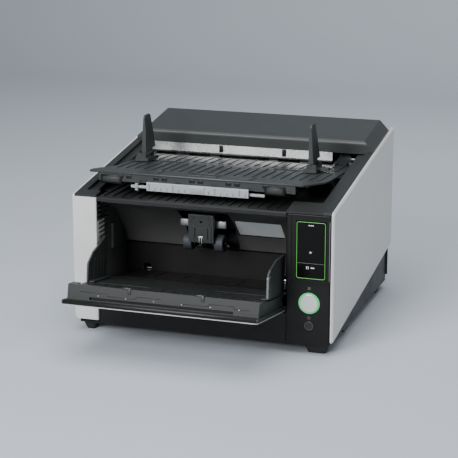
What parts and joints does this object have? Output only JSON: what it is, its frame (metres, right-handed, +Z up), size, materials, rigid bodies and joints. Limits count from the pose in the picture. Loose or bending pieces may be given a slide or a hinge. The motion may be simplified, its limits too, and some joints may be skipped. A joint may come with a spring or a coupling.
{
  "type": "sheet fed document scanner",
  "caption": "Desktop sheet fed document scanner with a front hopper door, lifting paper table, picking rollers, touch screen column, top stacker tray and rear hood.",
  "frame": {"origin": "on the table top under the middle of the bounding box with the hopper door open", "axes": "+Z up, -Y towards the front where the hopper door and the touch screen are, +X to the right of someone facing the scanner"},
  "size_m": [0.46, 0.5794, 0.3511],
  "materials": {
    "silver_panel": "satin silver-grey paint",
    "silver_skin": "satin silver-grey paint",
    "charcoal": "fine textured dark charcoal moulding",
    "black": "fine textured black moulding",
    "black_column": "smooth satin black",
    "inner_black": "textured black moulding",
    "screen": "dark glass with a green outline",
    "ring_green": "lit green ring",
    "button_silver": "turned silver cap",
    "button_black": "black",
    "rubber": "black rubber feet",
    "tyre_grey": "blue-grey rubber",
    "steel": "bright steel shafts",
    "zinc": "zinc plated sheet",
    "grey_bar": "light grey moulding",
    "label_grey": "light grey plate",
    "board_green": "green circuit board",
    "motor_grey": "dark grey",
    "gear_white": "natural white acetal",
    "clear_glass": "clear scan glass",
    "belt": "black toothed belt",
    "brush": "bright stainless strip"
  },
  "bodies": {
    "housing": {"left_side_panel": "silver_panel", "right_side_panel": "silver_panel", "base_pan": "inner_black", "rubber_feet": "rubber", "control_column": "black_column", "touch_screen": "screen", "scan_button_ring": "ring_green", "top_frame": "charcoal", "stacker_deck": "charcoal", "rear_cover": "charcoal", "rear_screws": "zinc", "power_inlet": "button_black", "main_board": "board_green", "power_supply": "zinc", "chassis_frame": "zinc", "throat_cover": "inner_black", "throat_window_plate": "label_grey", "pick_housing": "inner_black", "drive_belt": "belt", "feed_motor": "motor_grey", "lower_paper_guide": "inner_black", "upper_paper_guide": "inner_black", "lower_scan_unit": "motor_grey", "upper_scan_unit": "motor_grey", "scan_glass": "clear_glass", "turn_guides": "inner_black"},
    "front_door": {"door_skin": "silver_skin", "hopper_tray": "charcoal"},
    "extension": {"hopper_extension": "inner_black"},
    "guide_left": {"hopper_guide_left": "charcoal"},
    "guide_right": {"hopper_guide_right": "charcoal"},
    "guide_gear": {"guide_pinion": "gear_white"},
    "release_lever": {"guide_release_lever": "grey_bar"},
    "paper_table": {"lift_table": "inner_black"},
    "table_shaft": {"lift_shaft": "steel"},
    "arm": {"pick_arm": "inner_black"},
    "pick_roller": {"pick_shaft": "inner_black", "pick_tyres": "tyre_grey"},
    "feed_roller": {"feed_shaft": "steel", "feed_tyres": "tyre_grey"},
    "retard_roller": {"separation_roller": "tyre_grey"},
    "front_roller": {"transport_front": "steel"},
    "rear_roller": {"transport_rear": "steel"},
    "front_idler": {"pinch_front": "inner_black"},
    "rear_idler": {"pinch_rear": "inner_black"},
    "motor_pinion": {"feed_pinion": "steel"},
    "outlet_roller": {"exit_roller": "inner_black"},
    "hood": {"rear_hood": "charcoal", "discharge_brush": "brush"},
    "outlet_idler": {"exit_pinch_rollers": "inner_black"},
    "stacker": {"stacker_tray": "charcoal", "scale_bar": "grey_bar"},
    "left_slider": {"stacker_slider_left": "charcoal"},
    "right_slider": {"stacker_slider_right": "charcoal"},
    "left_fin": {"stacker_fin_left": "charcoal"},
    "right_fin": {"stacker_fin_right": "charcoal"},
    "stopper": {"stacker_stopper": "charcoal"},
    "button_scan": {"scan_button": "button_silver"},
    "button_power": {"power_button": "button_black"},
    "fan": {"fan_rotor": "inner_black"}
  },
  "joints": [
    {"name": "door_hinge", "type": "hinge", "parent": "housing", "child": "front_door", "pos_m": [0, -0.13535, 0.0763], "axis": [-1, 0, 0], "range_deg": [0, 81.4]},
    {"name": "extension_slide", "type": "slide", "parent": "front_door", "child": "extension", "axis": [0, 0.9888, -0.1495], "range_m": [-0.085, 0]},
    {"name": "guide_left_slide", "type": "slide", "parent": "front_door", "child": "guide_left", "axis": [-1, 0, 0], "range_m": [-0.1, 0]},
    {"name": "guide_right_slide", "type": "slide", "parent": "front_door", "child": "guide_right", "axis": [1, 0, 0], "range_m": [-0.1, 0]},
    {"name": "guide_gear_spin", "type": "hinge", "parent": "front_door", "child": "guide_gear", "pos_m": [-0.0185, -0.17736, 0.09479], "axis": [0, -0.1495, -0.9888], "range_deg": [-358.2, 0]},
    {"name": "release_lever_hinge", "type": "hinge", "parent": "guide_right", "child": "release_lever", "pos_m": [0.14075, -0.20736, 0.14383], "axis": [1, 0, 0], "range_deg": [0, 2.4], "stiffness_Nm_per_rad": 0.05, "springref_deg": -5.73},
    {"name": "table_lift", "type": "slide", "parent": "housing", "child": "paper_table", "axis": [0, 0, 1], "range_m": [0, 0.046]},
    {"name": "table_shaft_spin", "type": "hinge", "parent": "housing", "child": "table_shaft", "pos_m": [0, 0.00065, 0.07], "axis": [-1, 0, 0], "range_deg": [0, 219.8]},
    {"name": "arm_hinge", "type": "hinge", "parent": "housing", "child": "arm", "pos_m": [-0.0185, 0.01765, 0.147], "axis": [-1, 0, 0], "range_deg": [0, 4]},
    {"name": "pick_roller_spin", "type": "hinge", "parent": "arm", "child": "pick_roller", "pos_m": [-0.0185, -0.06035, 0.1555], "axis": [1, 0, 0], "continuous": true},
    {"name": "feed_roller_spin", "type": "hinge", "parent": "housing", "child": "feed_roller", "pos_m": [0, 0.01765, 0.147], "axis": [1, 0, 0], "continuous": true},
    {"name": "retard_roller_spin", "type": "hinge", "parent": "housing", "child": "retard_roller", "pos_m": [0, 0.01765, 0.1184], "axis": [1, 0, 0], "continuous": true},
    {"name": "front_roller_spin", "type": "hinge", "parent": "housing", "child": "front_roller", "pos_m": [0, 0.05335, 0.1196], "axis": [1, 0, 0], "continuous": true},
    {"name": "rear_roller_spin", "type": "hinge", "parent": "housing", "child": "rear_roller", "pos_m": [0, 0.17165, 0.1196], "axis": [1, 0, 0], "continuous": true},
    {"name": "front_idler_spin", "type": "hinge", "parent": "housing", "child": "front_idler", "pos_m": [0, 0.05335, 0.1384], "axis": [1, 0, 0], "continuous": true},
    {"name": "rear_idler_spin", "type": "hinge", "parent": "housing", "child": "rear_idler", "pos_m": [0, 0.17165, 0.1384], "axis": [1, 0, 0], "continuous": true},
    {"name": "motor_pinion_spin", "type": "hinge", "parent": "housing", "child": "motor_pinion", "pos_m": [0.165, 0.07456, 0.09432], "axis": [1, 0, 0], "continuous": true},
    {"name": "outlet_roller_spin", "type": "hinge", "parent": "housing", "child": "outlet_roller", "pos_m": [0, 0.16265, 0.2556], "axis": [1, 0, 0], "continuous": true},
    {"name": "hood_hinge", "type": "hinge", "parent": "housing", "child": "hood", "pos_m": [0, 0.27965, 0.3], "axis": [-1, 0, 0], "range_deg": [0, 70]},
    {"name": "outlet_idler_spin", "type": "hinge", "parent": "hood", "child": "outlet_idler", "pos_m": [0, 0.16265, 0.2714], "axis": [1, 0, 0], "continuous": true},
    {"name": "stacker_tilt", "type": "hinge", "parent": "housing", "child": "stacker", "pos_m": [0, 0.11165, 0.257], "axis": [-1, 0, 0], "range_deg": [0, 10]},
    {"name": "left_slider_slide", "type": "slide", "parent": "stacker", "child": "left_slider", "axis": [-1, 0, 0], "range_m": [-0.05, 0]},
    {"name": "right_slider_slide", "type": "slide", "parent": "stacker", "child": "right_slider", "axis": [1, 0, 0], "range_m": [-0.05, 0]},
    {"name": "left_fin_fold", "type": "hinge", "parent": "left_slider", "child": "left_fin", "pos_m": [-0.1665, 0.04965, 0.28014], "axis": [0, 1, 0], "range_deg": [0, 86]},
    {"name": "right_fin_fold", "type": "hinge", "parent": "right_slider", "child": "right_fin", "pos_m": [0.1395, 0.04965, 0.28014], "axis": [0, -1, 0], "range_deg": [0, 86]},
    {"name": "stopper_flip", "type": "hinge", "parent": "stacker", "child": "stopper", "pos_m": [-0.0185, -0.08435, 0.27256], "axis": [1, 0, 0], "range_deg": [0, 95]},
    {"name": "scan_button_push", "type": "slide", "parent": "housing", "child": "button_scan", "axis": [0, 1, 0], "range_m": [0, 0.0015], "stiffness_N_per_m": 400, "springref_m": -0.002},
    {"name": "power_button_push", "type": "slide", "parent": "housing", "child": "button_power", "axis": [0, 1, 0], "range_m": [0, 0.001], "stiffness_N_per_m": 400, "springref_m": -0.002},
    {"name": "fan_spin", "type": "hinge", "parent": "housing", "child": "fan", "pos_m": [0.188, 0.27515, 0.12], "axis": [0, 1, 0], "continuous": true}
  ],
  "couplings": [
    {"joint": "guide_right_slide", "follows": "guide_left_slide", "ratio": 1},
    {"joint": "guide_gear_spin", "follows": "guide_left_slide", "rad_per_m": 62.5},
    {"joint": "table_shaft_spin", "follows": "table_lift", "rad_per_m": 83.333},
    {"joint": "pick_roller_spin", "follows": "feed_roller_spin", "ratio": 1},
    {"joint": "front_roller_spin", "follows": "feed_roller_spin", "ratio": -1},
    {"joint": "rear_roller_spin", "follows": "feed_roller_spin", "ratio": -1},
    {"joint": "motor_pinion_spin", "follows": "feed_roller_spin", "ratio": 2.1429},
    {"joint": "right_slider_slide", "follows": "left_slider_slide", "ratio": 1}
  ]
}
